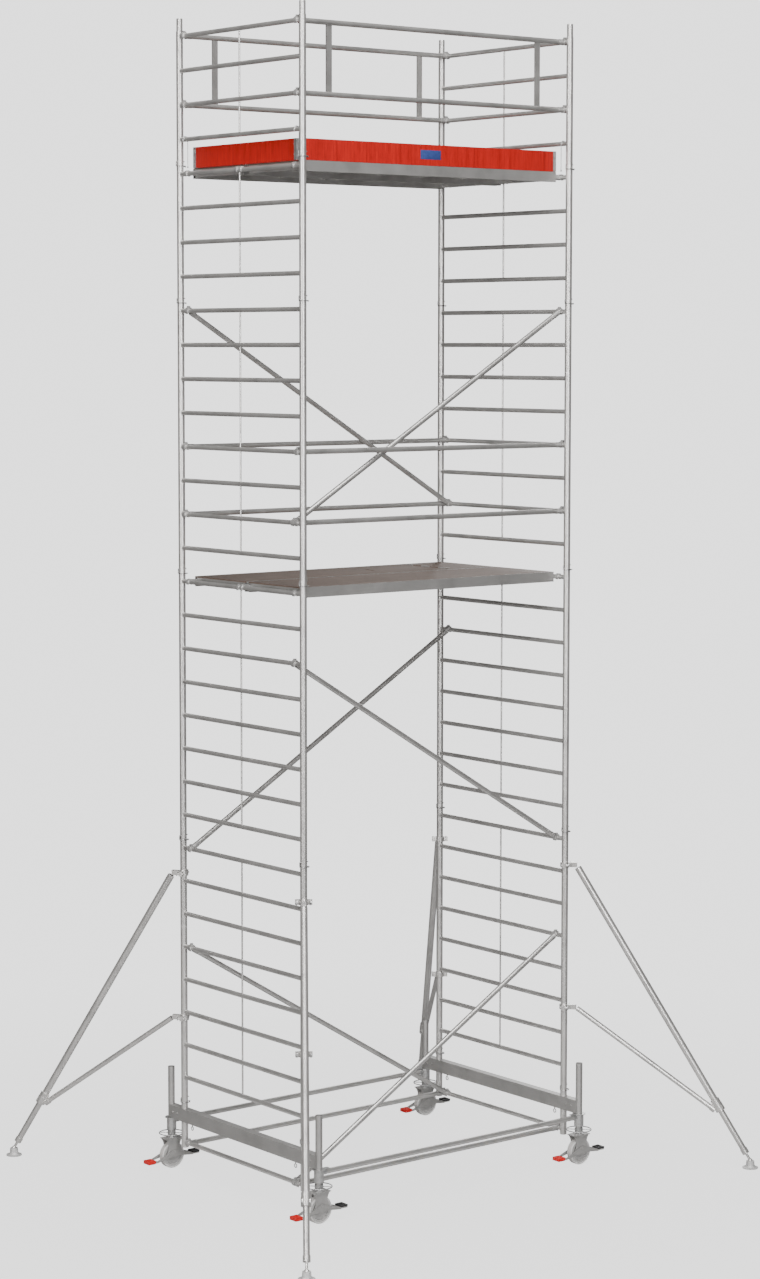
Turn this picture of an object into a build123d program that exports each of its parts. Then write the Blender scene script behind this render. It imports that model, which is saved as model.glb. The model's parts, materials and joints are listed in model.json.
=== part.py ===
"""Mobile tower scaffold: a rolling aluminium tower with two working levels.

Millimetres, +Z up, origin on the floor below the middle of the tower.
X runs along the long side, Y along the rungs of the two end ladders.
The left end is at -X, the front is at -Y.
"""
from build123d import *
import math
import os

# Tower
field_length = 2500
field_width = 1490
rung_pitch = 250
lowest_rung = 235
joint_above_rung = 35

# Tubes: outside radius and bore radius
post_radius = 25.5
post_bore = 23.0
rung_radius = 17.0
rung_bore = 15.0
mid_rod_radius = 6.5
rail_radius = 19.0
rail_bore = 16.8

# Spigots between frames and the clips that lock them
spigot_seat = 80
spigot_reach = 95
spigot_radius = 22.7
spigot_bore = 20.0
clip_height = 58
clip_wire = 3.5
clip_hole = 4.0

# Ladder frames from the bottom up: number of rungs in each
frame_rungs = [8, 8, 8, 4, 4]
first_frame_rung = 2
lower_deck_rung = 17
upper_deck_rung = 29

# Chassis
stub_foot = 195
beam_low = 395
beam_high = 495
beam_half = 30
beam_wall = 3
leg_offset = 175
leg_low = 285
leg_top = 783
spindle_rail_height = 366

# Rails and braces, distance of their claws inboard of the posts
rail_inboard = 58
brace_inboard = 100
claw_half_width = 16
claw_ring = 27
claw_collar = 21
claw_reach = 62
guard_bar_inset = 275

# Casters
wheel_radius = 100
wheel_half_width = 25
axle_radius = 6
fork_top = 234
stem_radius = 19
running_gap = 0.05
face_gap = 0.3
pedal_pivot = 128
pedal_pin = 5

# Outriggers: angle of each one from the X axis, seen from above
outrigger_angle = {"front_left": 53.5, "rear_left": 57.5, "rear_right": 56.5, "front_right": 48.5}
upper_clamp = 2290
lower_clamp = 1190
outrigger_reach = 1428
foot_pivot = 58
strut_radius = 26.5
strut_bore = 23.5
telescope_radius = 23.2
telescope_bore = 20.5
brace_reach = 1150
brace_height = 440

# Decks
deck_half_width = 665
deck_gap = 10
deck_end = 1190
deck_top = 40
deck_depth = 75
board_thick = 10
side_beam = 28
deck_wall = 3
hatch_from = 150
hatch_to = 760
hatch_side_gap = 55

# Toe boards
toe_height = 150
toe_thick = 20
bracket_length = 28
sheet = 3

corners = {
    "front_left": (-1, -1),
    "rear_left": (-1, 1),
    "rear_right": (1, 1),
    "front_right": (1, -1),
}
ends = {"left": -1, "right": 1}
sides = {"front": -1, "rear": 1}
half_length = field_length / 2
half_width = field_width / 2


def rung_height(number):
    """Height of a rung axis, counted from the lowest rung as 0."""
    return lowest_rung + rung_pitch * number


def write(name, pieces):
    """Save the separate pieces of one node."""
    export_step(Compound(children=list(pieces)), os.path.join("parts", name + ".step"))


def bar(start, end, radius, bore=0.0):
    """Round bar between two points, or a tube when it has a bore."""
    run = Vector(*end) - Vector(*start)
    seat = Plane(origin=start, z_dir=run)
    outside = Solid.make_cylinder(radius, run.length, seat)
    if bore == 0:
        return outside
    return (outside - Solid.make_cylinder(bore, run.length, seat)).solid()


def block(low, high):
    """Straight-sided block between two corners."""
    size = [b - a for a, b in zip(low, high)]
    return Solid.make_box(*size, Plane(origin=low))


def hollow_block(low, high, wall, along):
    """Box section with open ends along X or Y."""
    inner_low = [a + (0 if axis == along else wall) for axis, a in zip("XYZ", low)]
    inner_high = [b - (0 if axis == along else wall) for axis, b in zip("XYZ", high)]
    return (block(low, high) - block(inner_low, inner_high)).solid()


# Ladder frames ------------------------------------------------------------

def spigot(top):
    """Stepped joint sleeve: pressed in the post below, free to enter the post above."""
    profile = Polyline(
        (spigot_bore, -spigot_seat), (post_bore, -spigot_seat), (post_bore, 0), (spigot_radius, 0),
        (spigot_radius, spigot_reach - 4), (spigot_radius - 2, spigot_reach),
        (spigot_bore, spigot_reach), close=True)
    sleeve = revolve(Plane.XZ * make_face(profile), Axis.Z).solid()
    pin = bar((-30, 0, clip_height), (30, 0, clip_height), clip_hole)
    return (sleeve - pin).solid().moved(Location((0, 0, top)))


def post(low, high, clip_at=None):
    """Upright tube, drilled across where a locking clip passes."""
    tube = bar((0, 0, low), (0, 0, high), post_radius, post_bore)
    if clip_at is None:
        return tube
    return (tube - bar((-40, 0, clip_at), (40, 0, clip_at), clip_hole)).solid()


def rung(rod_from=None, rod_to=None):
    """Cross tube with ends cut to the posts, at height 0, and a hole for the middle rod."""
    tube = bar((0, -half_width, 0), (0, half_width, 0), rung_radius, rung_bore)
    for side in (-1, 1):
        tube = tube - bar((0, side * half_width, -40), (0, side * half_width, 40), post_radius)
    if rod_from is not None:
        tube = tube - bar((0, 0, rod_from), (0, 0, rod_to), mid_rod_radius)
    return tube.solid()


def ladder_frame(rungs):
    """One end frame standing on height 0: posts, rungs, middle rod and top spigots."""
    height = rungs * rung_pitch
    first = rung_pitch - joint_above_rung
    upright = post(0, height, clip_height)
    tip = spigot(height)
    pieces = []
    for side in (-1, 1):
        pieces.append(upright.moved(Location((0, side * half_width, 0))))
        pieces.append(tip.moved(Location((0, side * half_width, 0))))
    bottom_rung = rung(0, 40)
    middle_rung = rung(-40, 40)
    top_rung = rung(-40, 0)
    for number in range(rungs):
        shape = bottom_rung if number == 0 else top_rung if number == rungs - 1 else middle_rung
        pieces.append(shape.moved(Location((0, 0, first + number * rung_pitch))))
    last = first + (rungs - 1) * rung_pitch
    pieces.append(bar((0, 0, first), (0, 0, last), mid_rod_radius))
    return pieces


def placed(pieces, x=0, y=0, z=0, turn=0):
    """Copies of some pieces, turned about Z and then moved."""
    return [piece.moved(Location((x, y, z), (0, 0, turn))) for piece in pieces]


def ladder_frames():
    kinds = {rungs: ladder_frame(rungs) for rungs in set(frame_rungs)}
    for end, sign in ends.items():
        number = first_frame_rung
        for order, rungs in enumerate(frame_rungs, start=1):
            foot = rung_height(number - 1) + joint_above_rung
            write(f"ladder_frame_{end}_{order}", placed(kinds[rungs], x=sign * half_length, z=foot))
            number += rungs


def base_frames():
    """Short frame at each end that the ladder frames stand on."""
    top = rung_height(first_frame_rung - 1) + joint_above_rung
    stub = post(stub_foot, top)
    tip = spigot(top)
    pieces = [rung().moved(Location((0, 0, lowest_rung)))]
    for side in (-1, 1):
        pieces += placed([stub, tip], y=side * half_width)
    for end, sign in ends.items():
        write(f"base_frame_{end}", placed(pieces, x=sign * half_length))


# Chassis beams ------------------------------------------------------------

def beam_bolt(y):
    """Bolt through both sides of the beam, with its head and nut."""
    middle = (beam_low + beam_high) / 2
    shank = bar((-beam_half - 9, y, middle), (beam_half + 9, y, middle), 5)
    for side in (-1, 1):
        shank = shank + bar((side * beam_half, y, middle), (side * (beam_half + 7), y, middle), 9)
    return shank.solid()


def ring_pin(y):
    """Locking pin under the beam with its pull ring."""
    stem = bar((0, y, beam_low - 24), (0, y, beam_low + 10), 4)
    ring = Solid.make_torus(13, 3.5, Plane(origin=(0, y, beam_low - 38), z_dir=(1, 0, 0)))
    return (stem + ring).solid()


def chassis_beams():
    """Box beam through which the stub posts pass, with a spindle leg at both ends."""
    leg_y = half_width + leg_offset
    beam = hollow_block((-beam_half, -leg_y, beam_low), (beam_half, leg_y, beam_high), beam_wall, "Y")
    pieces = []
    bolts = []
    for side in (-1, 1):
        for y in (side * half_width, side * leg_y):
            beam = beam - bar((0, y, beam_low - 1), (0, y, beam_high + 1), post_radius)
        leg = bar((0, side * leg_y, leg_low), (0, side * leg_y, leg_top), post_radius, post_bore)
        pieces.append(leg)
        for step in (60, 115):
            bolts.append(beam_bolt(side * (half_width + step)))
        pieces.append(ring_pin(side * (half_width - 100)))
    for cutter in bolts + pieces:
        beam = beam - cutter
    pieces.append(beam.solid())
    pieces += bolts
    for end, sign in ends.items():
        write(f"chassis_beam_{end}", placed(pieces, x=sign * half_length))


# Rails, braces and their claws ---------------------------------------------

def claw(place, direction):
    """Hook that drops over a rung, with the socket that holds a rail's end.

    place is the rung's axis where the claw sits, direction points along the rail in the XZ plane.
    """
    slot = Pos(0, -claw_ring / 2 - 2) * Rectangle(2 * rung_radius - 6, claw_ring + 4)
    hook = Circle(claw_ring) - Circle(rung_radius + 0.1) - slot
    hook = extrude(Plane.XZ.offset(-claw_half_width) * hook, 2 * claw_half_width)
    latch = block((-10, -8, claw_ring - 3), (10, 8, claw_ring + 9))
    hook = hook + latch
    away = Vector(*direction).normalized()
    socket = bar(away * (rung_radius + 5), away * claw_reach, claw_collar)
    clear = bar((0, -40, 0), (0, 40, 0), rung_radius + 0.1)
    return (hook + (socket - clear)).solid().moved(Location(place))


def long_tube(start, end):
    """Rail between two claw places, cut back by the claws' reach."""
    first = Vector(*start)
    run = Vector(*end) - first
    step = run.normalized() * claw_reach
    return bar(tuple(first + step), tuple(Vector(*end) - step), rail_radius, rail_bore)


def hooked_rail(start, end, claws):
    """Rail with a claw at each end; the claws join the shared list."""
    run = Vector(*end) - Vector(*start)
    claws.append(claw(start, tuple(run)))
    claws.append(claw(end, tuple(run * -1)))
    return long_tube(start, end)


def level_rail(side, number, claws):
    y = side * (half_width - rail_inboard)
    z = rung_height(number)
    return hooked_rail((-half_length, y, z), (half_length, y, z), claws)


def brace(side, left_rung, right_rung, claws):
    y = side * (half_width - brace_inboard)
    start = (-half_length, y, rung_height(left_rung))
    return hooked_rail(start, (half_length, y, rung_height(right_rung)), claws)


def leg_coupler(sign):
    """Split collar round a spindle leg with the socket of the long rail."""
    collar = bar((0, 0, -68), (0, 0, 24), 36)
    flange = bar((0, 0, 22), (0, 0, 27), 50)
    lever = block((40, -16, 22), (86, 16, 27))
    socket = bar((20, 0, 0), (claw_reach, 0, 0), 20)
    body = collar + flange + lever + socket
    body = body - bar((0, 0, -70), (0, 0, 30), post_radius + 0.1)
    split = block((-60, -1.5, -70), (-20, 1.5, 30))
    body = (body - split).solid()
    return body.moved(Location((0, 0, 0), (0, 0, 0 if sign < 0 else 180)))


def rails():
    claws = []
    base = [level_rail(side, 0, claws) for side in (-1, 1)]
    leg_y = half_width + leg_offset
    couplers = []
    for side in (-1, 1):
        for sign in (-1, 1):
            place = (sign * half_length, side * leg_y, spindle_rail_height)
            couplers.append(leg_coupler(sign).moved(Location(place)))
        low = (-half_length, side * leg_y, spindle_rail_height)
        base.append(long_tube(low, (half_length, side * leg_y, spindle_rail_height)))
    write("base_rails", base)
    write("leg_couplers", couplers)
    write("middle_guard_rails", [level_rail(side, n, claws) for side in (-1, 1) for n in (19, 21)])
    for name, side in sides.items():
        upright_y = side * (half_width - rail_inboard)
        pieces = [level_rail(side, n, claws) for n in (31, 33)]
        for sign in (-1, 1):
            x = sign * (half_length - guard_bar_inset)
            strap = block((x - 24, upright_y - 6, rung_height(31)), (x + 24, upright_y + 6, rung_height(33)))
            for number in (31, 33):
                z = rung_height(number)
                strap = strap - bar((x - 60, upright_y, z), (x + 60, upright_y, z), rail_radius)
            pieces.append(strap.solid())
        write(f"top_guard_rail_{name}", pieces)
        rise = -side
        low_high = [(0, 6), (15, 9), (19, 25)] if rise > 0 else [(6, 0), (9, 15), (25, 19)]
        write(f"diagonal_braces_{name}", [brace(side, left, right, claws) for left, right in low_high])
    write("rail_claws", claws)


def locking_clips():
    """Wire clips: a pin through each frame joint and a bow round the post."""
    bow = clip_wire + post_radius + 6
    path = FilletPolyline(
        (bow + 4, 0, 0), (-bow, 0, 0), (-bow, 0, -34), (-bow, -bow, -34), (bow, -bow, -34),
        (bow, 0, -34), (bow + 20, 9, -38), radius=[6, 6, 24, 24, 6])
    start = Plane(origin=(bow + 4, 0, 0), z_dir=(-1, 0, 0))
    wire = sweep(start * Circle(clip_wire), path=path).solid()
    pieces = []
    number = first_frame_rung
    for rungs in frame_rungs:
        z = rung_height(number - 1) + joint_above_rung + clip_height
        for x_sign, y_sign in corners.values():
            pieces.append(wire.moved(Location((x_sign * half_length, y_sign * half_width, z))))
        number += rungs
    write("locking_clips", pieces)


# Decks ----------------------------------------------------------------------

def side_member(inner, outer):
    """Long deck beam, box section with a lip along the board's edge."""
    lip_low, lip_high = (outer - deck_wall, outer) if outer > inner else (outer, outer + deck_wall)
    low_y, high_y = min(inner, outer), max(inner, outer)
    seat = deck_top - board_thick
    low = deck_top - deck_depth
    beam = hollow_block((-deck_end, low_y, low), (deck_end, high_y, seat), deck_wall, "X")
    return (beam + block((-deck_end, lip_low, seat), (deck_end, lip_high, deck_top))).solid()


def platform_frame(near, far, bearers):
    """One platform's frame between two Y faces: side beams, end beams and cross bearers."""
    low = deck_top - deck_depth
    seat = deck_top - board_thick
    step = side_beam if far > near else -side_beam
    pieces = [side_member(near + step, near), side_member(far - step, far)]
    inside = sorted((near + step, far - step))
    for sign in (-1, 1):
        x = sorted((sign * deck_end, sign * (deck_end - 30)))
        pieces.append(hollow_block((x[0], inside[0], low + 10), (x[1], inside[1], seat), deck_wall, "Y"))
    for x in bearers:
        pieces.append(hollow_block((x - 15, inside[0], seat - 30), (x + 15, inside[1], seat), 2, "Y"))
    return pieces


def hatch_box():
    """The hatch's opening in the rear platform, as X and Y limits."""
    return (hatch_from, hatch_to), (deck_gap + hatch_side_gap, deck_half_width - hatch_side_gap)


def board(near, far, cut=None):
    low_y, high_y = sorted((near, far))
    low = (-deck_end, low_y + deck_wall, deck_top - board_thick)
    panel = block(low, (deck_end, high_y - deck_wall, deck_top))
    if cut is not None:
        (x0, x1), (y0, y1) = cut
        panel = panel - block((x0, y0, -100), (x1 + 12, y1, 100))
    return panel.solid()


def hatch_hinge(x, y0, y1):
    """Fixed and moving knuckles of the hatch, with the pin, along Y at the hatch's edge."""
    length = (y1 - y0) / 5
    fixed = []
    moving = []
    z = deck_top
    for number in range(5):
        start = y0 + number * length
        knuckle = bar((x, start + face_gap, z), (x, start + length - face_gap, z), 5.5)
        if number % 2:
            leaf = block((x - 12, start + face_gap, z - 2.5), (x, start + length - face_gap, z))
            tube = (knuckle + leaf).solid() - bar((x, y0, z), (x, y1, z), 3 + running_gap)
            moving.append(tube.solid())
        else:
            leaf = block((x, start + face_gap, z), (x + 34, start + length - face_gap, z + 2.5))
            tube = (knuckle + leaf).solid() - bar((x, y0, z), (x, y1, z), 3)
            fixed.append(tube.solid())
    fixed.append(bar((x, y0 + 2, z), (x, y1 - 2, z), 3))
    return fixed, moving


def hatch_panel(x_limits, y_limits, knuckles):
    """Hinged part of the board with a grip hole and its hinge leaves."""
    low = (x_limits[0] + 3, y_limits[0] + 3, deck_top - board_thick)
    panel = block(low, (x_limits[1] - 6.5, y_limits[1] - 3, deck_top))
    grip_x = x_limits[0] + 55
    grip_y = (y_limits[0] + y_limits[1]) / 2
    for y in (grip_y - 40, grip_y + 40):
        panel = panel - bar((grip_x, y, -50), (grip_x, y, 100), 15)
    panel = panel - block((grip_x - 15, grip_y - 40, -50), (grip_x + 15, grip_y + 40, 100))
    for knuckle in knuckles:
        panel = panel - knuckle
    return panel.solid()


def decks():
    claws = []
    cut = hatch_box()
    (x0, x1), (y0, y1) = cut
    axis_x = x1 + 2
    fixed, moving = hatch_hinge(axis_x, y0 + 20, y1 - 20)
    bearers = [-800, -400, 0, 400, 800]
    hatch_bearers = [-800, -400, 0, x0 - 18, x1 + 32]
    frame = platform_frame(-deck_gap, -deck_half_width, bearers)
    frame += platform_frame(deck_gap, deck_half_width, hatch_bearers)
    frame += fixed
    near_y = deck_gap + side_beam
    far_y = deck_half_width - side_beam
    low = deck_top - board_thick - 25
    frame.append(hollow_block((x0 - 3, near_y, low), (x1 + 17, y0 + 14, low + 25), 2, "X"))
    frame.append(hollow_block((x0 - 3, y1 - 14, low), (x1 + 17, far_y, low + 25), 2, "X"))
    boards = [board(-deck_gap, -deck_half_width), board(deck_gap, deck_half_width, cut)]
    for piece in fixed:
        boards[1] = (boards[1] - piece).solid()
    flap = [hatch_panel(*cut, moving)] + moving
    for x_sign in (-1, 1):
        for y in (deck_gap, deck_half_width - side_beam):
            for y_sign in (-1, 1):
                claws.append(deck_claw(x_sign, y_sign * (y + side_beam / 2)))
    for name, number in (("lower", lower_deck_rung), ("upper", upper_deck_rung)):
        z = rung_height(number)
        write(f"{name}_deck_frame", placed(frame, z=z))
        write(f"{name}_deck_boards", placed(boards, z=z))
        write(f"{name}_deck_hatch", placed(flap, z=z))
    levels = [rung_height(number) for number in (lower_deck_rung, upper_deck_rung)]
    write("deck_claws", [claw_copy for z in levels for claw_copy in placed(claws, z=z)])


def deck_claw(sign, y):
    """Cast hook on the end of a deck beam, resting on the rung."""
    width = 12
    slot = Pos(0, -claw_ring / 2 - 2) * Rectangle(2 * rung_radius - 6, claw_ring + 4)
    hook = Circle(claw_ring - 2) - Circle(rung_radius + 0.1) - slot
    hook = extrude(Plane.XZ.offset(-width) * hook, 2 * width)
    inboard = half_length - deck_end
    arm = block((-inboard, -width, -12), (-rung_radius - 4, width, 20))
    arm = arm - bar((0, -40, 0), (0, 40, 0), rung_radius + 0.1)
    body = (hook + arm).solid()
    turned = body.moved(Location((0, 0, 0), (0, 0, 0 if sign > 0 else 180)))
    return turned.moved(Location((sign * half_length, y, 0)))


# Toe boards -----------------------------------------------------------------

def toe_bracket(z):
    """Folded steel cap on a toe board's end; the board runs along X, the cap's end is at 0."""
    outer = block((0, -toe_thick / 2 - sheet, z), (bracket_length, toe_thick / 2 + sheet, z + toe_height))
    hollow = block((-1, -toe_thick / 2, z - 1), (bracket_length - sheet, toe_thick / 2, z + toe_height + 1))
    return (outer - hollow).solid()


def toe_boards():
    z = rung_height(upper_deck_rung) + deck_top + 2
    boards = []
    brackets = []
    long_y = deck_half_width - toe_thick / 2 - sheet
    long_x = deck_end - bracket_length
    short_x = deck_end + 12
    short_y = long_y - toe_thick - bracket_length - 2 * sheet
    cap = toe_bracket(z)
    for side in (-1, 1):
        y = side * long_y
        boards.append(block((-long_x, y - toe_thick / 2, z), (long_x, y + toe_thick / 2, z + toe_height)))
        x = side * short_x
        boards.append(block((x - toe_thick / 2, -short_y, z), (x + toe_thick / 2, short_y, z + toe_height)))
        for sign, turn in ((1, 0), (-1, 180)):
            start = Location((sign * long_x, y, 0), (0, 0, turn))
            brackets.append(cap.moved(start))
            brackets.append(cap.moved(Location((x, sign * short_y, 0), (0, 0, turn + 90))))
    write("toe_boards", boards)
    brackets += toe_hangers(z)
    write("toe_board_brackets", brackets)


def toe_hangers(z):
    """Wire hooks that hold the toe boards' corners to the rung above the deck."""
    rung_z = rung_height(upper_deck_rung + 1)
    loop = rung_radius + 4
    y = deck_half_width + 12
    pieces = []
    for x_sign, y_sign in corners.values():
        path = FilletPolyline(
            (loop, 0, -14), (loop, 0, loop), (-loop, 0, loop), (-loop, 0, z - rung_z + 12),
            radius=[loop - 1, loop - 1])
        start = Plane(origin=(loop, 0, -14), z_dir=(0, 0, 1))
        wire = sweep(start * Circle(3), path=path).solid()
        eye = block((-loop - 3, -6, z - rung_z + 2), (-loop + 3, 6, z - rung_z + 12))
        wire = (wire + eye).solid()
        turn = 0 if x_sign > 0 else 180
        place = Location((x_sign * half_length, y_sign * y, rung_z), (0, 0, turn))
        pieces.append(wire.moved(place))
    return pieces


# Casters --------------------------------------------------------------------

def caster_spindle():
    """Tubular screw stem with its bearing plate and king pin."""
    head = fork_top - 22
    profile = Polyline(
        (0, head), (13, head), (13, head + 10), (8, head + 10), (8, fork_top + face_gap),
        (40, fork_top + face_gap), (40, fork_top + 8), (stem_radius, fork_top + 8),
        (stem_radius, leg_top - 60), (14, leg_top - 60), (14, fork_top + 20), (0, fork_top + 20),
        close=True)
    return revolve(Plane.XZ * make_face(profile), Axis.Z).solid()


def height_nut():
    """Spindle nut with the spoked wire ring that turns it."""
    middle = leg_low - 17
    hub = bar((0, 0, leg_low - 32), (0, 0, leg_low - face_gap), 31)
    ring = Solid.make_torus(94, 4, Plane(origin=(0, 0, middle), z_dir=(0, 0, 1)))
    body = hub + ring
    for number in range(4):
        angle = math.radians(45 + 90 * number)
        tip = (94 * math.cos(angle), 94 * math.sin(angle), middle)
        body = body + bar((0, 0, middle), tip, 3.5)
    body = body - bar((0, 0, 0), (0, 0, 400), stem_radius + running_gap)
    return body.solid()


def fork_cheek():
    """Waisted side plate of the fork, drawn in X and Z."""
    top = fork_top - 6
    with BuildSketch() as sketch:
        with BuildLine():
            Line((-75, top), (75, top))
            Spline((75, top), (54, top - 40), (70, 112))
            ThreePointArc((70, 112), (0, 62), (-70, 112))
            Spline((-70, 112), (-54, top - 40), (-75, top))
        make_face()
    return sketch.sketch


def caster_fork():
    """Pressed fork with its wheel axle and the pedal's pivot bolts."""
    plate = block((-75, -46, fork_top - 6), (75, 46, fork_top))
    inner = wheel_half_width + 5
    body = plate
    for side in (-1, 1):
        start = inner if side > 0 else -inner - 4
        body = body + extrude(Plane(origin=(0, start + 4, 0), x_dir=(1, 0, 0), z_dir=(0, -1, 0)) * fork_cheek(), 4)
        rib_y = sorted((side * inner, side * (inner + 12)))
        body = body + block((-60, rib_y[0], fork_top - 18), (60, rib_y[1], fork_top - 6))
    body = body - bar((0, 0, 150), (0, 0, 300), 8 + running_gap)
    axle = bar((0, -36, wheel_radius), (0, 36, wheel_radius), axle_radius)
    for side in (-1, 1):
        face = side * (inner + 4)
        axle = axle + bar((0, face, wheel_radius), (0, face + side * 3, wheel_radius), 11)
    body = body - bar((0, -60, wheel_radius), (0, 60, wheel_radius), axle_radius)
    pivots = []
    for side in (-1, 1):
        outside = side * (inner + 4)
        start = (0, side * inner, pedal_pivot)
        pin = bar(start, (0, outside + side * 13, pedal_pivot), pedal_pin)
        pin = pin + bar((0, outside + side * 10, pedal_pivot), (0, outside + side * 13, pedal_pivot), 9)
        pivots.append(pin.solid())
    body = body - bar((0, -60, pedal_pivot), (0, 60, pedal_pivot), pedal_pin)
    return [body.solid(), axle.solid()] + pivots


def caster_wheel():
    """Moulded wheel: core with hub and web, and the tread round it."""
    half = wheel_half_width
    core = Polyline(
        (axle_radius + running_gap, -28), (20, -28), (24, -10), (66, -10), (72, -22), (86, -22),
        (86, 22), (72, 22), (66, 10), (24, 10), (20, 28), (axle_radius + running_gap, 28), close=True)
    tread = Polyline((86, -22), (92, -half), (wheel_radius - 4, -half), (wheel_radius, -half + 6),
                     (wheel_radius, half - 6), (wheel_radius - 4, half), (92, half), (86, 22), close=True)
    place = Location((0, 0, wheel_radius), (90, 0, 0))
    pieces = []
    for profile in (core, tread):
        turned = revolve(Plane.XZ * make_face(profile), Axis.Z).solid()
        pieces.append(turned.moved(place))
    return pieces


def brake_pedal():
    """Rocker over the wheel: side arms, tread plates and the two foot pads."""
    arm_face = wheel_half_width + 13
    arm = Plane(origin=(0, -arm_face, 0), x_dir=(1, 0, 0), z_dir=(0, -1, 0)) * make_face(Polyline(
        (-168, 78), (-168, 64), (-60, 84), (60, 92), (168, 80), (168, 94), (60, 128), (14, 144),
        (-14, 144), (-60, 118), close=True))
    side_arm = extrude(arm, 5).solid()
    holes = bar((0, -60, pedal_pivot), (0, 60, pedal_pivot), pedal_pin + running_gap)
    side_arm = (side_arm - holes).solid()
    reach = arm_face + 5
    other = side_arm.moved(Location((0, 2 * arm_face + 5, 0)))
    body = side_arm + other
    body = body + block((-222, -reach, 68), (-150, reach, 76))
    body = body + block((150, -reach, 84), (226, reach, 92))
    red = block((-234, -reach + 6, 60), (-172, reach - 6, 86)) - body
    black = block((172, -reach + 6, 92), (234, reach - 6, 104)) - body
    red = max(red.solids(), key=lambda piece: piece.volume)
    return [body.solid(), red, black.solid()]


def casters():
    spindle = [caster_spindle()]
    nut = [height_nut()]
    fork = caster_fork()
    wheel = caster_wheel()
    pedal = brake_pedal()
    for corner, (x_sign, y_sign) in corners.items():
        x = x_sign * half_length
        y = y_sign * (half_width + leg_offset)
        write(f"caster_spindle_{corner}", placed(spindle, x, y))
        write(f"height_nut_{corner}", placed(nut, x, y))
        write(f"caster_fork_{corner}", placed(fork, x, y))
        write(f"caster_wheel_{corner}", placed(wheel, x, y))
        write(f"brake_pedal_{corner}", placed(pedal, x, y))


# Outriggers -----------------------------------------------------------------

def post_clamp(z):
    """Half-shell clamp round a post with bolt lugs and the lug of its strut."""
    shell = bar((0, 0, z - 18), (0, 0, z + 18), 36)
    lugs = block((-14, -62, z - 18), (14, 62, z + 18))
    nose = block((20, -15, z - 18), (92, 15, z + 18))
    body = shell + lugs + nose
    body = body - bar((0, 0, z - 30), (0, 0, z + 30), post_radius + face_gap)
    for side in (-1, 1):
        bolt = bar((-22, side * 50, z), (24, side * 50, z), 6)
        body = body + bolt + bar((14, side * 50, z), (23, side * 50, z), 10)
    return body.solid()


def outrigger_arm():
    """Outrigger along +X from the post axis: clamps, telescopic strut, brace and couplings."""
    top = Vector(100, 0, upper_clamp - 22)
    foot = Vector(outrigger_reach, 0, foot_pivot)
    run = (foot - top).normalized()
    length = (foot - top).length
    clamps = [post_clamp(upper_clamp), post_clamp(lower_clamp)]
    slide_end = top + run * (length * 0.80)
    tube_end = foot - run * 75
    strut = bar(tuple(top), tuple(slide_end), strut_radius, strut_bore)
    inner = bar(tuple(top + run * (length * 0.55)), tuple(tube_end), telescope_radius, telescope_bore)
    collar = bar(tuple(slide_end - run * 20), tuple(slide_end + run * 26), 35)
    collar = collar - bar(tuple(slide_end - run * 30), tuple(slide_end), strut_radius)
    collar = collar - bar(tuple(slide_end), tuple(slide_end + run * 40), telescope_radius)
    bottom = bar(tuple(tube_end - run * 30), tuple(tube_end + run * 12), 27)
    bottom = bottom - bar(tuple(tube_end - run * 40), tuple(tube_end), telescope_radius)
    neck = bar(tuple(tube_end + run * 10), tuple(foot), 10)
    ball = Solid.make_sphere(17, Plane(origin=tuple(foot)), -90, 90, 360)
    bottom = bottom + neck + ball
    knuckle = Vector(brace_reach, 0, brace_height)
    start = Vector(100, 0, lower_clamp - 10)
    way = (knuckle - start).normalized()
    brace_tube = bar(tuple(start), tuple(knuckle - way * 30), rail_radius, rail_bore)
    on_strut = top + run * ((knuckle - top).dot(run))
    coupler = bar(tuple(on_strut - run * 30), tuple(on_strut + run * 30), 37)
    coupler = coupler + bar(tuple(knuckle - way * 30), tuple(knuckle + way * 8), 24)
    coupler = coupler + bar((on_strut.X, -30, on_strut.Z), (on_strut.X, 30, on_strut.Z), 30)
    coupler = coupler - bar(tuple(top), tuple(slide_end), strut_radius)
    coupler = coupler - bar(tuple(slide_end - run * 1), tuple(tube_end), strut_radius)
    collar = collar - coupler
    return clamps + [strut, inner, collar.solid(), bottom.solid(), brace_tube, coupler.solid()]


def outrigger_foot():
    """Round foot plate with the bell-shaped socket for the outrigger's ball."""
    outline = Polyline(
        (0, 0), (58, 0), (60, 3), (60, 8), (40, 12), (33, 24), (30, foot_pivot), (0, foot_pivot), close=True)
    body = revolve(Plane.XZ * make_face(outline), Axis.Z)
    cup = Solid.make_sphere(17 + 0.5, Plane(origin=(0, 0, foot_pivot)), -90, 90, 360)
    return (body - cup).solid()


def outriggers():
    arm = outrigger_arm()
    foot = outrigger_foot().moved(Location((outrigger_reach, 0, 0)))
    for corner, (x_sign, y_sign) in corners.items():
        angle = math.radians(outrigger_angle[corner])
        turn = math.degrees(math.atan2(y_sign * math.sin(angle), x_sign * math.cos(angle)))
        x, y = x_sign * half_length, y_sign * half_width
        write(f"outrigger_{corner}", placed(arm, x, y, 0, turn))
        write(f"outrigger_foot_{corner}", placed([foot], x, y, 0, turn))


os.makedirs("parts", exist_ok=True)
base_frames()
chassis_beams()
ladder_frames()
rails()
locking_clips()
decks()
toe_boards()
casters()
outriggers()
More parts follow.
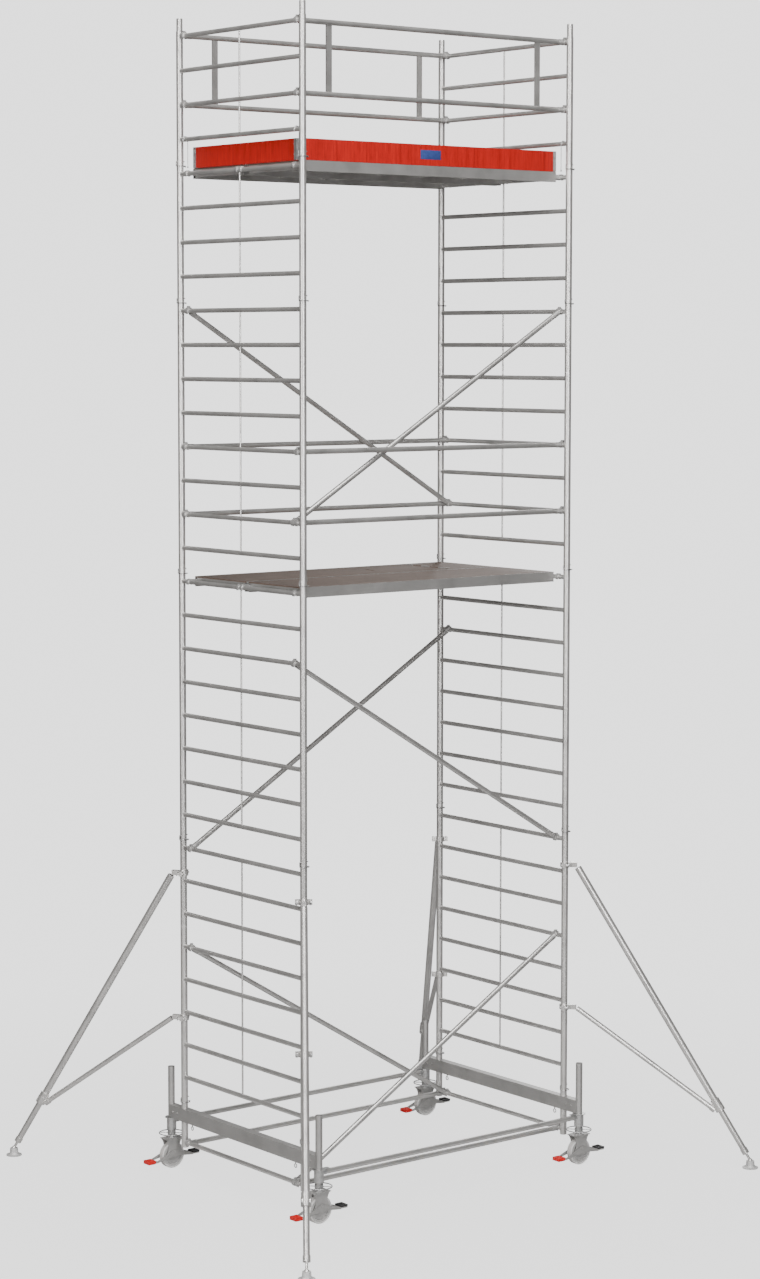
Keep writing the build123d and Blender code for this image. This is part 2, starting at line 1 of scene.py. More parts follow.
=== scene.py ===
"""Looks of the mobile tower scaffold, in metres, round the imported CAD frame."""
import bpy
import json
import math
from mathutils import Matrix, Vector


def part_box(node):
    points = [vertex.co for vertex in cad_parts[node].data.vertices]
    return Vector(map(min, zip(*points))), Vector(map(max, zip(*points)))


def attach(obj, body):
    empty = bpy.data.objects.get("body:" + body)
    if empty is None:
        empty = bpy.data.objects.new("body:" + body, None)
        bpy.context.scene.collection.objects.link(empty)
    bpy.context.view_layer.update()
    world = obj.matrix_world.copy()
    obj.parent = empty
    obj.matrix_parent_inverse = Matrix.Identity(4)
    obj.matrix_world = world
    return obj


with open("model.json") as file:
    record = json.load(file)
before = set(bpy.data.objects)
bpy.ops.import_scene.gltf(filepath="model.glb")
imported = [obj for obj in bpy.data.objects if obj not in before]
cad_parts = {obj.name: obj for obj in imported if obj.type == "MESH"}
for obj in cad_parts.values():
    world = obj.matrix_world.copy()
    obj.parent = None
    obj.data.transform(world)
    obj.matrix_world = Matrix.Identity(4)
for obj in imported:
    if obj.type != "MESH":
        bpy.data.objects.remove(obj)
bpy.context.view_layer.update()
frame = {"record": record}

CORNERS = ("front_left", "rear_left", "rear_right", "front_right")

# Strength at which the camera sees the surround and the far floor; it comes out pale grey
SURROUND_SEEN = 2.2

# Sizes of the frame that the added pieces sit on
POST_RADIUS = 0.0255
RUNG_RADIUS = 0.017
RUNG_PITCH = 0.25
LOWEST_RUNG = 0.235
FIRST_RUNG_ABOVE_FRAME_FOOT = 0.215
CLAMP_HEIGHTS = (2.290, 1.190)
CLAMP_BOLT_OFFSET = 0.050
CLAMP_NUT_REACH = 0.0275
CLAMP_WING_REACH = 0.035
PAD_START = 0.1715
BLACK_PAD_LOW = 0.0921
PAD_FIRST_RIB = 0.180
PAD_RIB_STEP = 0.0085
RIBS_PER_PAD = 6
THREAD_LOW = 0.2445
THREAD_PITCH = 0.0035
RIVETS_ALONG_DECK = 17


# Camera, floor and light ------------------------------------------------------

def add_camera():
    """Long lens off the front left corner, six metres up."""
    data = bpy.data.cameras.new("camera")
    data.lens = 83.65
    data.sensor_width = 36.0
    data.shift_x = 0.0218
    data.shift_y = -0.0313
    data.clip_end = 200.0
    camera = bpy.data.objects.new("camera", data)
    camera.location = (-13.856, -17.370, 6.236)
    camera.rotation_euler = (math.radians(85.103), 0.0, math.radians(-38.117))
    bpy.context.collection.objects.link(camera)
    bpy.context.scene.camera = camera


def add_area_light(name, place, target, size, power, tint):
    data = bpy.data.lights.new(name, "AREA")
    data.shape = "RECTANGLE"
    data.size, data.size_y = size
    data.energy = power
    data.color = tint
    light = bpy.data.objects.new(name, data)
    light.location = place
    way = Vector(target) - Vector(place)
    light.rotation_euler = way.to_track_quat("-Z", "Y").to_euler()
    bpy.context.collection.objects.link(light)


def add_floor():
    """Pale floor that shows the soft shadows near the wheels and fades into the surround."""
    bpy.ops.mesh.primitive_plane_add(size=80.0, location=(0.0, 0.0, 0.0))
    floor = bpy.context.object
    floor.name = "studio_floor"
    paint = bpy.data.materials.new("studio_floor_paint")
    paint.use_nodes = True
    nodes, links = paint.node_tree.nodes, paint.node_tree.links
    nodes.clear()
    output = nodes.new("ShaderNodeOutputMaterial")
    matt = nodes.new("ShaderNodeBsdfDiffuse")
    matt.inputs["Color"].default_value = (0.62, 0.62, 0.62, 1.0)
    glow = nodes.new("ShaderNodeEmission")
    glow.inputs["Color"].default_value = (1.0, 1.0, 1.0, 1.0)
    glow.inputs["Strength"].default_value = SURROUND_SEEN
    clear = nodes.new("ShaderNodeBsdfTransparent")
    place = nodes.new("ShaderNodeTexCoord")
    span = nodes.new("ShaderNodeMapping")
    span.inputs["Scale"].default_value = (0.14, 0.14, 0.14)
    fade = nodes.new("ShaderNodeTexGradient")
    fade.gradient_type = "SPHERICAL"
    path = nodes.new("ShaderNodeLightPath")
    seen = nodes.new("ShaderNodeMath")
    seen.operation = "MULTIPLY"
    seen.inputs[1].default_value = 0.80
    lifted = nodes.new("ShaderNodeMixShader")
    faded = nodes.new("ShaderNodeMixShader")
    links.new(place.outputs["Object"], span.inputs["Vector"])
    links.new(span.outputs["Vector"], fade.inputs["Vector"])
    links.new(path.outputs["Is Camera Ray"], seen.inputs[0])
    links.new(seen.outputs["Value"], lifted.inputs["Fac"])
    links.new(matt.outputs["BSDF"], lifted.inputs[1])
    links.new(glow.outputs["Emission"], lifted.inputs[2])
    links.new(fade.outputs["Fac"], faded.inputs["Fac"])
    links.new(clear.outputs["BSDF"], faded.inputs[1])
    links.new(lifted.outputs["Shader"], faded.inputs[2])
    links.new(faded.outputs["Shader"], output.inputs["Surface"])
    floor.data.materials.append(paint)


def add_lights():
    """Tall softboxes for long streaks on the tubes, in a dim surround that is seen as pale grey."""
    middle = (0.0, 0.0, 4.3)
    add_area_light("top_softbox", (-4.0, -6.0, 17.0), middle, (8.0, 8.0), 2400.0, (1.0, 0.99, 0.97))
    add_area_light("left_softbox", (-18.0, -6.0, 8.0), middle, (3.2, 13.0), 2300.0, (1.0, 0.98, 0.96))
    add_area_light("camera_softbox", (-8.0, -19.0, 8.0), middle, (3.0, 13.0), 2900.0, (1.0, 1.0, 1.0))
    add_area_light("rear_softbox", (14.0, 12.0, 10.0), middle, (4.0, 10.0), 800.0, (1.0, 1.0, 1.0))

    world = bpy.data.worlds.new("studio_surround")
    bpy.context.scene.world = world
    world.use_nodes = True
    nodes, links = world.node_tree.nodes, world.node_tree.links
    nodes.clear()
    output = nodes.new("ShaderNodeOutputWorld")
    seen = nodes.new("ShaderNodeBackground")
    seen.inputs["Color"].default_value = (1.0, 1.0, 1.0, 1.0)
    seen.inputs["Strength"].default_value = SURROUND_SEEN
    lit = nodes.new("ShaderNodeBackground")
    lit.inputs["Color"].default_value = (1.0, 0.97, 0.94, 1.0)
    lit.inputs["Strength"].default_value = 0.13
    path = nodes.new("ShaderNodeLightPath")
    mix = nodes.new("ShaderNodeMixShader")
    links.new(path.outputs["Is Camera Ray"], mix.inputs["Fac"])
    links.new(lit.outputs["Background"], mix.inputs[1])
    links.new(seen.outputs["Background"], mix.inputs[2])
    links.new(mix.outputs["Shader"], output.inputs["Surface"])


# Finishes ---------------------------------------------------------------------

class Finish:
    """One procedural material, with short calls for the nodes that it is made of."""

    def __init__(self, name, metallic, roughness):
        self.material = bpy.data.materials.new(name)
        self.material.use_nodes = True
        self.nodes = self.material.node_tree.nodes
        self.links = self.material.node_tree.links
        self.shader = self.nodes["Principled BSDF"]
        self.shader.inputs["Metallic"].default_value = metallic
        self.shader.inputs["Roughness"].default_value = roughness
        self.place = self.nodes.new("ShaderNodeTexCoord").outputs["Object"]

    def mapped(self, location=(0, 0, 0), turn=(0, 0, 0), scale=(1, 1, 1)):
        node = self.nodes.new("ShaderNodeMapping")
        node.inputs["Location"].default_value = location
        node.inputs["Rotation"].default_value = turn
        node.inputs["Scale"].default_value = scale
        self.links.new(self.place, node.inputs["Vector"])
        return node.outputs["Vector"]

    def noise(self, scale, stretch=(1, 1, 1), detail=4.0, roughness=0.55):
        node = self.nodes.new("ShaderNodeTexNoise")
        node.inputs["Scale"].default_value = scale
        node.inputs["Detail"].default_value = detail
        node.inputs["Roughness"].default_value = roughness
        self.links.new(self.mapped(scale=stretch), node.inputs["Vector"])
        return node.outputs["Fac"]

    def cells(self, scale, feature="F1", stretch=(1, 1, 1)):
        node = self.nodes.new("ShaderNodeTexVoronoi")
        node.feature = feature
        node.inputs["Scale"].default_value = scale
        self.links.new(self.mapped(scale=stretch), node.inputs["Vector"])
        return node.outputs["Distance"]

    def ramp(self, source, stops, smooth=True):
        node = self.nodes.new("ShaderNodeValToRGB")
        node.color_ramp.interpolation = "EASE" if smooth else "CONSTANT"
        marks = node.color_ramp.elements
        while len(marks) < len(stops):
            marks.new(0.5)
        for mark, (position, colour) in zip(marks, stops):
            mark.position = position
            mark.color = (*colour, 1.0)
        self.links.new(source, node.inputs["Fac"])
        return node.outputs["Color"]

    def math(self, kind, first, second, clamp=False):
        node = self.nodes.new("ShaderNodeMath")
        node.operation = kind
        node.use_clamp = clamp
        for socket, value in zip(node.inputs, (first, second)):
            if isinstance(value, (int, float)):
                socket.default_value = value
            else:
                self.links.new(value, socket)
        return node.outputs[0]

    def mix(self, amount, first, second, blend="MIX"):
        node = self.nodes.new("ShaderNodeMix")
        node.data_type = "RGBA"
        node.blend_type = blend
        sockets = (node.inputs[0], node.inputs[6], node.inputs[7])
        for socket, value in zip(sockets, (amount, first, second)):
            if isinstance(value, (int, float)):
                socket.default_value = value
            elif isinstance(value, tuple):
                socket.default_value = (*value, 1.0)
            else:
                self.links.new(value, socket)
        return node.outputs[2]

    def colour(self, source):
        self.links.new(source, self.shader.inputs["Base Color"])

    def roughness(self, source, low, high):
        node = self.nodes.new("ShaderNodeMapRange")
        node.inputs["To Min"].default_value = low
        node.inputs["To Max"].default_value = high
        self.links.new(source, node.inputs["Value"])
        self.links.new(node.outputs["Result"], self.shader.inputs["Roughness"])

    def bump(self, source, strength, distance):
        node = self.nodes.new("ShaderNodeBump")
        node.inputs["Strength"].default_value = strength
        node.inputs["Distance"].default_value = distance
        self.links.new(source, node.inputs["Height"])
        self.links.new(node.outputs["Normal"], self.shader.inputs["Normal"])


def tinted(colour, factor):
    return tuple(min(1.0, channel * factor) for channel in colour)


def drawn_aluminium(name, colour, along=(1, 1, 1), metallic=0.82, low=0.30, high=0.46):
    """Satin drawn tube: cloudy oxide, fine die lines, dull rub marks and grey site dirt."""
    finish = Finish(name, metallic, 0.38)
    cloud = finish.noise(5.0, detail=6.0)
    base = finish.ramp(
        cloud, [(0.30, tinted(colour, 0.86)), (0.52, colour), (0.74, tinted(colour, 1.10))])
    lines = finish.noise(240.0, stretch=along, detail=2.0)
    line_tone = finish.ramp(lines, [(0.35, (0.55,) * 3), (0.65, (1.0,) * 3)])
    base = finish.mix(0.08, base, line_tone, "MULTIPLY")
    marks = finish.noise(34.0, stretch=(1.0, 1.0, 0.35), detail=8.0, roughness=0.7)
    worn = finish.ramp(marks, [(0.58, (0.0,) * 3), (0.70, (1.0,) * 3)])
    base = finish.mix(finish.math("MULTIPLY", worn, 0.14), base, tinted(colour, 0.7))
    finish.colour(base)
    finish.roughness(finish.math("ADD", cloud, finish.math("MULTIPLY", worn, 0.6), True), low, high)
    finish.bump(lines, 0.05, 0.0004)
    return finish.material


def cast_metal(name, colour, metallic=0.7):
    """Tumbled casting: grainy skin, darker hollows and a few bright knocks."""
    finish = Finish(name, metallic, 0.48)
    grain = finish.noise(420.0, detail=3.0)
    cloud = finish.noise(28.0, detail=5.0)
    base = finish.ramp(
        cloud, [(0.32, tinted(colour, 0.76)), (0.55, colour), (0.72, tinted(colour, 1.18))])
    knocks = finish.ramp(finish.cells(90.0), [(0.05, (1.0,) * 3), (0.12, (0.0,) * 3)])
    base = finish.mix(finish.math("MULTIPLY", knocks, 0.25), base, tinted(colour, 1.45))
    finish.colour(base)
    finish.roughness(grain, 0.40, 0.60)
    finish.bump(grain, 0.22, 0.0006)
    return finish.material


def zinc_plate(name, colour):
    """Bright zinc plating with a faint spangle and dull patches."""
    finish = Finish(name, 0.85, 0.34)
    spangle = finish.cells(160.0)
    patch = finish.noise(40.0, detail=5.0)
    base = finish.ramp(spangle, [(0.0, tinted(colour, 0.88)), (0.7, tinted(colour, 1.10))])
    dull = finish.ramp(patch, [(0.45, (0.0,) * 3), (0.62, (0.6,) * 3)])
    base = finish.mix(dull, base, tinted(colour, 0.72))
    finish.colour(base)
    finish.roughness(patch, 0.26, 0.48)
    finish.bump(spangle, 0.04, 0.0003)
    return finish.material


def satin_paint(name, colour, metallic=0.15):
    """Grey powder coat with orange peel and scuffs."""
    finish = Finish(name, metallic, 0.45)
    peel = finish.noise(380.0, detail=2.0)
    cloud = finish.noise(22.0, detail=6.0)
    base = finish.ramp(cloud, [(0.3, tinted(colour, 0.84)), (0.6, colour), (0.8, tinted(colour, 1.12))])
    scuffs = finish.noise(120.0, stretch=(1.0, 1.0, 0.15), detail=6.0, roughness=0.75)
    scuffed = finish.ramp(scuffs, [(0.62, (0.0,) * 3), (0.70, (0.5,) * 3)])
    base = finish.mix(scuffed, base, tinted(colour, 1.5))
    finish.colour(base)
    finish.roughness(cloud, 0.36, 0.56)
    finish.bump(peel, 0.12, 0.0004)
    return finish


def moulded_wheel(corner):
    """Grey moulded wheel: paler tread with a dusty running face, darker core."""
    centre = wheel_centre(corner)
    finish = Finish(f"moulded_wheel_{corner}", 0.0, 0.55)
    moved = finish.mapped(location=tuple(-value for value in centre))
    flat = finish.nodes.new("ShaderNodeVectorMath")
    flat.operation = "MULTIPLY"
    flat.inputs[1].default_value = (1.0, 0.0, 1.0)
    finish.links.new(moved, flat.inputs[0])
    length = finish.nodes.new("ShaderNodeVectorMath")
    length.operation = "LENGTH"
    finish.links.new(flat.outputs["Vector"], length.inputs[0])
    reach = finish.math("MULTIPLY", length.outputs["Value"], 10.0)
    zone = finish.ramp(reach, [(0.0, (0.30, 0.295, 0.29)), (0.24, (0.42, 0.415, 0.41)),
                               (0.86, (0.60, 0.595, 0.59)), (0.985, (0.50, 0.49, 0.48))], smooth=False)
    dust = finish.noise(60.0, detail=6.0)
    dusty = finish.ramp(dust, [(0.5, (0.0,) * 3), (0.75, (0.5,) * 3)])
    finish.colour(finish.mix(dusty, zone, (0.36, 0.34, 0.31)))
    finish.roughness(dust, 0.45, 0.75)
    finish.bump(finish.noise(500.0, detail=2.0), 0.15, 0.0004)
    return finish.material


def pedal_paint(corner):
    """Grey rocker with the red locking pad at one end and the black release pad at the other."""
    x = wheel_centre(corner)[0]
    finish = satin_paint(f"pedal_paint_{corner}", (0.30, 0.295, 0.29))
    grey = finish.shader.inputs["Base Color"].links[0].from_socket
    split = finish.nodes.new("ShaderNodeSeparateXYZ")
    finish.links.new(finish.place, split.inputs["Vector"])
    grain = finish.noise(90.0, detail=5.0)
    red = finish.ramp(grain, [(0.35, (0.50, 0.008, 0.006)), (0.65, (0.72, 0.016, 0.012))])
    black = finish.ramp(grain, [(0.35, (0.012, 0.012, 0.013)), (0.65, (0.03, 0.03, 0.032))])
    is_red = finish.math("LESS_THAN", split.outputs["X"], x - PAD_START)
    past = finish.math("GREATER_THAN", split.outputs["X"], x + PAD_START)
    above = finish.math("GREATER_THAN", split.outputs["Z"], BLACK_PAD_LOW)
    is_black = finish.math("MULTIPLY", past, above)
    finish.colour(finish.mix(is_black, finish.mix(is_red, grey, red), black))
    return finish.material


def plain_plastic(name, colour, roughness=0.5):
    """Moulded plastic with a fine spark-eroded grain and handling marks."""
    finish = Finish(name, 0.0, roughness)
    cloud = finish.noise(30.0, detail=5.0)
    finish.colour(finish.ramp(cloud, [(0.3, tinted(colour, 0.85)), (0.7, tinted(colour, 1.12))]))
    finish.roughness(cloud, roughness - 0.08, roughness + 0.12)
    finish.bump(finish.noise(600.0, detail=2.0), 0.15, 0.0004)
    return finish.material


def filmed_plywood(name):
    """Brown film-faced plywood: pressed mesh grip, long faint grain, grey wear where people tread."""
    finish = Finish(name, 0.0, 0.6)
    grain = finish.noise(9.0, stretch=(0.35, 5.0, 1.0), detail=8.0, roughness=0.65)
    base = finish.ramp(grain, [(0.28, (0.085, 0.056, 0.042)), (0.5, (0.118, 0.082, 0.064)),
                               (0.72, (0.150, 0.108, 0.088))])
    mesh = finish.cells(150.0, feature="DISTANCE_TO_EDGE")
    print_lines = finish.ramp(mesh, [(0.0, (0.62,) * 3), (0.14, (1.0,) * 3)])
    base = finish.mix(0.55, base, print_lines, "MULTIPLY")
    tread = finish.noise(2.2, detail=7.0, roughness=0.6)
    trodden = finish.ramp(tread, [(0.48, (0.0,) * 3), (0.75, (0.40,) * 3)])
    base = finish.mix(trodden, base, (0.19, 0.155, 0.135))
    finish.colour(base)
    finish.roughness(tread, 0.50, 0.78)
    finish.bump(mesh, 0.5, 0.0008)
    return finish.material


def stained_board(name):
    """Red stained plywood with upright grain, darker pores and rubbed patches."""
    finish = Finish(name, 0.0, 0.5)
    grain = finish.noise(26.0, stretch=(3.0, 3.0, 0.14), detail=8.0, roughness=0.68)
    base = finish.ramp(grain, [(0.28, (0.24, 0.0022, 0.0008)), (0.5, (0.42, 0.005, 0.0014)),
                               (0.72, (0.54, 0.009, 0.003))])
    pores = finish.noise(150.0, stretch=(3.0, 3.0, 0.10), detail=4.0)
    pore_tone = finish.ramp(pores, [(0.38, (0.55,) * 3), (0.50, (1.0,) * 3)])
    base = finish.mix(0.5, base, pore_tone, "MULTIPLY")
    rubbed = finish.noise(3.0, detail=5.0)
    faded = finish.ramp(rubbed, [(0.60, (0.0,) * 3), (0.85, (0.35,) * 3)])
    base = finish.mix(faded, base, (0.50, 0.03, 0.015))
    finish.colour(base)
    finish.roughness(grain, 0.40, 0.62)
    finish.bump(pores, 0.20, 0.0006)
    return finish.material


def wheel_centre(corner):
    low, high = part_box(f"caster_wheel_{corner}")
    return tuple((a + b) / 2 for a, b in zip(low, high))


def make_finishes():
    """Finish of each of the record's material slots."""
    tube = (0.66, 0.65, 0.64)
    return {
        "frame_tube": drawn_aluminium("post_and_rung_tube", tube),
        "rail_tube": drawn_aluminium("rail_tube", tinted(tube, 0.92), along=(0.04, 1, 1)),
        "outrigger_tube": drawn_aluminium("outrigger_tube", tinted(tube, 1.10), low=0.26, high=0.42),
        "beam_section": drawn_aluminium(
            "beam_section", tinted(tube, 0.66), along=(1, 0.04, 1), low=0.4, high=0.58),
        "deck_section": drawn_aluminium(
            "deck_section", tinted(tube, 0.80), along=(0.04, 1, 1), low=0.4, high=0.55),
        "cast_claw": cast_metal("cast_claw", (0.50, 0.495, 0.49)),
        "zinc_fittings": zinc_plate("zinc_fittings", (0.52, 0.52, 0.52)),
        "clip_wire": zinc_plate("clip_wire", (0.40, 0.40, 0.40)),
        "spindle_steel": zinc_plate("spindle_steel", (0.55, 0.55, 0.55)),
        "pressed_fork": satin_paint("pressed_fork", (0.36, 0.355, 0.35), 0.3).material,
        "foot_casting": cast_metal("foot_casting", (0.58, 0.58, 0.58), 0.3),
        "deck_board": filmed_plywood("filmed_plywood"),
        "toe_board": stained_board("stained_toe_board"),
    }


def give_finish(piece, material):
    piece.data.materials.clear()
    piece.data.materials.append(material)


def dress_cad_nodes(finishes):
    """Better finish for every carried-over CAD node."""
    for part in frame["record"]["subparts"]:
        node, slot = part["node"], part["material_slot"]
        piece = bpy.data.objects[node]
        if slot in finishes:
            material = finishes[slot]
        elif slot == "wheel_plastic":
            material = moulded_wheel(node.replace("caster_wheel_", ""))
        else:
            material = pedal_paint(node.replace("brake_pedal_", ""))
        for number in range(max(1, len(piece.data.materials))):
            if number < len(piece.data.materials):
                piece.data.materials[number] = material
            else:
                piece.data.materials.append(material)


# Added pieces -------------------------------------------------------------------

def clear_selection():
    bpy.ops.object.select_all(action="DESELECT")


def start_piece(add, **settings):
    clear_selection()
    add(**settings)
    return bpy.context.object


def apply_place(piece):
    clear_selection()
    piece.select_set(True)
    bpy.context.view_layer.objects.active = piece
    bpy.ops.object.transform_apply(location=True, rotation=True, scale=True)


def apply_bevel(piece, width, segments=2, angle=35.0):
    bevel = piece.modifiers.new("edge_round", "BEVEL")
    bevel.width = width
    bevel.segments = segments
    bevel.limit_method = "ANGLE"
    bevel.angle_limit = math.radians(angle)
    clear_selection()
    piece.select_set(True)
    bpy.context.view_layer.objects.active = piece
    bpy.ops.object.modifier_apply(modifier=bevel.name)


def copy_to(piece, place, turn=(0.0, 0.0, 0.0)):
    twin = piece.copy()
    twin.data = piece.data.copy()
    twin.location = place
    twin.rotation_euler = turn
    bpy.context.collection.objects.link(twin)
    return twin


def join_pieces(pieces, name, body, material, smooth=True):
    """One riding piece out of many copies, with its place in its mesh."""
    clear_selection()
    for piece in pieces:
        piece.select_set(True)
    bpy.context.view_layer.objects.active = pieces[0]
    if len(pieces) > 1:
        bpy.ops.object.join()
    whole = bpy.context.object
    bpy.ops.object.transform_apply(location=True, rotation=True, scale=True)
    if smooth:
        bpy.ops.object.shade_smooth_by_angle(angle=math.radians(35.0))
    whole.name = name
    whole.data.name = name
    give_finish(whole, material)
    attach(whole, body)
    return whole


def discard(piece):
    bpy.data.objects.remove(piece, do_unlink=True)


def middle_of(node):
    low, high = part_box(node)
    return Vector([(a + b) / 2 for a, b in zip(low, high)])


def weld_bead():
    """Weld where a rung leaves a post along -Y: a thin ring bent round the post."""
    bead = start_piece(bpy.ops.mesh.primitive_torus_add, major_radius=RUNG_RADIUS + 0.0006,
                       minor_radius=0.0022, major_segments=28, minor_segments=6,
                       rotation=(math.radians(90), 0.0, 0.0))
    apply_place(bead)
    bend = bead.modifiers.new("round_the_post", "SIMPLE_DEFORM")
    bend.deform_method = "BEND"
    bend.deform_axis = "Z"
    bend.angle = 2.0 * RUNG_RADIUS / POST_RADIUS
    bpy.ops.object.modifier_apply(modifier=bend.name)
    bead.location = (0.0, -POST_RADIUS, 0.0)
    apply_place(bead)
    return bead


def rung_heights():
    """Heights of the base frame's rung and of every ladder frame's rungs."""
    heights = [LOWEST_RUNG]
    for order in range(1, 6):
        low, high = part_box(f"ladder_frame_left_{order}")
        first = low[2] + FIRST_RUNG_ABOVE_FRAME_FOOT
        count = 8 if high[2] - low[2] > 1.5 else 4
        heights += [first + RUNG_PITCH * number for number in range(count)]
    return heights


def post_places():
    low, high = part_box("ladder_frame_left_1")
    x = abs(low[0] + high[0]) / 2
    y = high[1] - POST_RADIUS
    return x, y


def add_welds(finishes):
    bead = weld_bead()
    x, y = post_places()
    for end, x_sign in (("left", -1), ("right", 1)):
        beads = []
        for height in rung_heights():
            beads.append(copy_to(bead, (x_sign * x, y, height)))
            beads.append(copy_to(bead, (x_sign * x, -y, height), (0.0, 0.0, math.pi)))
        join_pieces(beads, f"rung_welds_{end}", "tower", finishes["cast_claw"])
    discard(bead)


def rivet_head(radius, height):
    """Low dome, flat underneath."""
    rivet = start_piece(bpy.ops.mesh.primitive_uv_sphere_add, segments=12, ring_count=6, radius=radius)
    rivet.scale = (1.0, 1.0, height / radius)
    apply_place(rivet)
    bpy.ops.object.mode_set(mode="EDIT")
    bpy.ops.mesh.select_all(action="SELECT")
    bpy.ops.mesh.bisect(plane_co=(0, 0, 0), plane_no=(0, 0, 1), clear_inner=True, use_fill=True)
    bpy.ops.object.mode_set(mode="OBJECT")
    return rivet


def add_deck_rivets(finishes):
    """Low rivet heads along both long edges of every platform's boards."""
    rivet = rivet_head(0.006, 0.0012)
    for level in ("lower", "upper"):
        low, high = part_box(f"{level}_deck_boards")
        top = high[2] - 0.0002
        heads = []
        rows = (low[1] + 0.012, -0.024, 0.024, high[1] - 0.012)
        for number in range(RIVETS_ALONG_DECK):
            x = low[0] + 0.03 + number * (high[0] - low[0] - 0.06) / (RIVETS_ALONG_DECK - 1)
            heads += [copy_to(rivet, (x, y, top)) for y in rows]
        join_pieces(heads, f"{level}_deck_rivets", "tower", finishes["cast_claw"])
    discard(rivet)


def add_bracket_rivets(finishes):
    """Two rivets on the outer face at each toe board end."""
    rivet = rivet_head(0.005, 0.002)
    low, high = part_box("toe_boards")
    x_out, y_out = high[0], high[1]
    heads = []
    for z in (low[2] + 0.04, high[2] - 0.04):
        for x_sign in (-1, 1):
            for y_sign in (-1, 1):
                place = (x_sign * (x_out - 0.036), y_sign * (y_out + 0.0028), z)
                heads.append(copy_to(rivet, place, (math.radians(-90) * y_sign, 0.0, 0.0)))
                place = (x_sign * (x_out + 0.0028), y_sign * (y_out - 0.064), z)
                heads.append(copy_to(rivet, place, (0.0, math.radians(90) * x_sign, 0.0)))
    join_pieces(heads, "toe_board_rivets", "tower", finishes["zinc_fittings"])
    discard(rivet)


def add_blank_label():
    """Plain blue plate on the front toe board, with nothing written on it."""
    low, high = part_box("toe_boards")
    plate = start_piece(bpy.ops.mesh.primitive_cube_add, size=1.0)
    plate.scale = (0.190, 0.0012, 0.066)
    plate.location = (-0.025, low[1] - 0.0004, high[2] - 0.073)
    apply_place(plate)
    apply_bevel(plate, 0.0005)
    finish = plain_plastic("label_print", (0.030, 0.055, 0.20), 0.42)
    join_pieces([plate], "label_plate", "tower", finish)


def hex_nut(width, height):
    nut = start_piece(bpy.ops.mesh.primitive_cylinder_add, vertices=6,
                      radius=width / math.sqrt(3), depth=height)
    apply_bevel(nut, height * 0.12)
    return nut


def outrigger_direction(corner):
    arm, foot = post_corner(corner), middle_of(f"outrigger_foot_{corner}")
    way = Vector((foot.x - arm.x, foot.y - arm.y, 0.0))
    return way.normalized()


def post_corner(corner):
    x, y = post_places()
    return Vector((-x if "left" in corner else x, -y if "front" in corner else y, 0.0))


def narrow_ends(piece):
    """Faces that look up and down drawn in to half their width."""
    bpy.ops.object.mode_set(mode="EDIT")
    bpy.ops.mesh.select_all(action="DESELECT")
    bpy.ops.object.mode_set(mode="OBJECT")
    for face in piece.data.polygons:
        face.select = abs(face.normal.z) > 0.9
    bpy.ops.object.mode_set(mode="EDIT")
    bpy.ops.transform.resize(value=(1.0, 0.5, 1.0))
    bpy.ops.object.mode_set(mode="OBJECT")


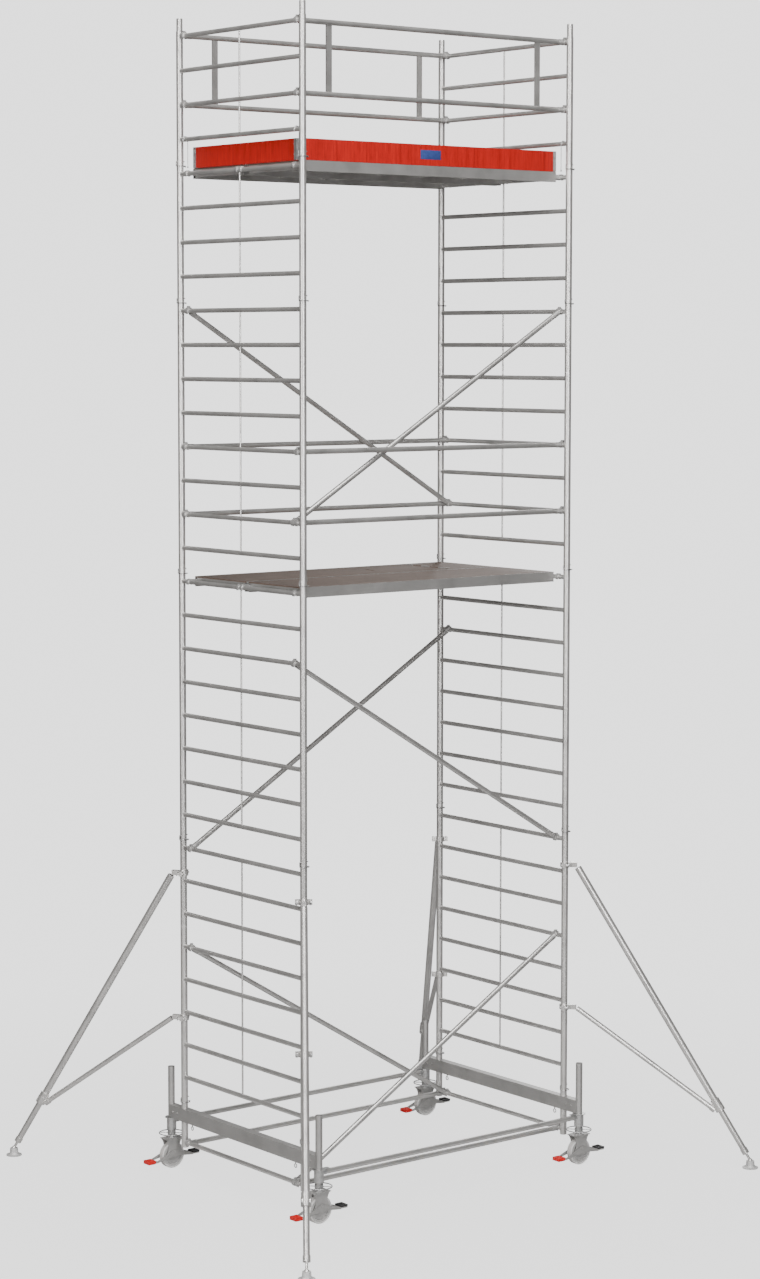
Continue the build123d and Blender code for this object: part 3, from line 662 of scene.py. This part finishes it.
def add_clamp_hardware(finishes):
    """Nuts and wing handles on the bolts of the outriggers' post clamps."""
    nut = hex_nut(0.019, 0.010)
    wing = start_piece(bpy.ops.mesh.primitive_cube_add, size=1.0)
    wing.scale = (0.006, 0.018, 0.034)
    apply_place(wing)
    narrow_ends(wing)
    apply_bevel(wing, 0.0018)
    for corner in CORNERS:
        way = outrigger_direction(corner)
        across = Vector((-way.y, way.x, 0.0))
        post = post_corner(corner)
        turn = math.atan2(way.y, way.x)
        pieces = []
        for height in CLAMP_HEIGHTS:
            for side in (-1, 1):
                place = post + across * (side * CLAMP_BOLT_OFFSET) + Vector((0.0, 0.0, height))
                nut_place = place + way * CLAMP_NUT_REACH
                pieces.append(copy_to(nut, nut_place, (0.0, math.radians(90), turn)))
                pieces.append(copy_to(wing, place + way * CLAMP_WING_REACH, (0.0, 0.0, turn)))
        body = f"outrigger_{corner}"
        join_pieces(pieces, f"clamp_nuts_{corner}", body, finishes["zinc_fittings"])
    discard(nut)
    discard(wing)


def add_pedal_ribs():
    """Grip ribs across the foot pads."""
    rib = start_piece(bpy.ops.mesh.primitive_cube_add, size=1.0)
    rib.scale = (0.0035, 0.056, 0.003)
    apply_place(rib)
    apply_bevel(rib, 0.0009)
    red = plain_plastic("red_pad_rib", (0.66, 0.014, 0.010), 0.45)
    black = plain_plastic("black_pad_rib", (0.02, 0.02, 0.021), 0.6)
    for corner in CORNERS:
        x, y, _ = wheel_centre(corner)
        for name, sign, top, material in (("red", -1, 0.0865, red), ("black", 1, 0.1045, black)):
            reaches = [PAD_FIRST_RIB + PAD_RIB_STEP * number for number in range(RIBS_PER_PAD)]
            ribs = [copy_to(rib, (x + sign * reach, y, top)) for reach in reaches]
            rib_name = f"{name}_pad_ribs_{corner}"
            join_pieces(ribs, rib_name, f"brake_pedal_{corner}", material)
    discard(rib)


def add_stem_threads(finishes):
    """Three raised rings on each spindle, just above the bearing plate, for its thread."""
    for corner in CORNERS:
        centre = wheel_centre(corner)
        ring = start_piece(bpy.ops.mesh.primitive_torus_add, major_radius=0.0185, minor_radius=0.0012,
                           major_segments=24, minor_segments=6)
        apply_place(ring)
        turns = [copy_to(ring, (centre[0], centre[1], THREAD_LOW + THREAD_PITCH * step))
                 for step in range(3)]
        body = f"caster_spindle_{corner}"
        join_pieces(turns, f"spindle_thread_{corner}", body, finishes["spindle_steel"])
        discard(ring)


add_camera()
add_floor()
add_lights()
finish_set = make_finishes()
dress_cad_nodes(finish_set)
add_welds(finish_set)
add_deck_rivets(finish_set)
add_bracket_rivets(finish_set)
add_blank_label()
add_clamp_hardware(finish_set)
add_pedal_ribs()
add_stem_threads(finish_set)
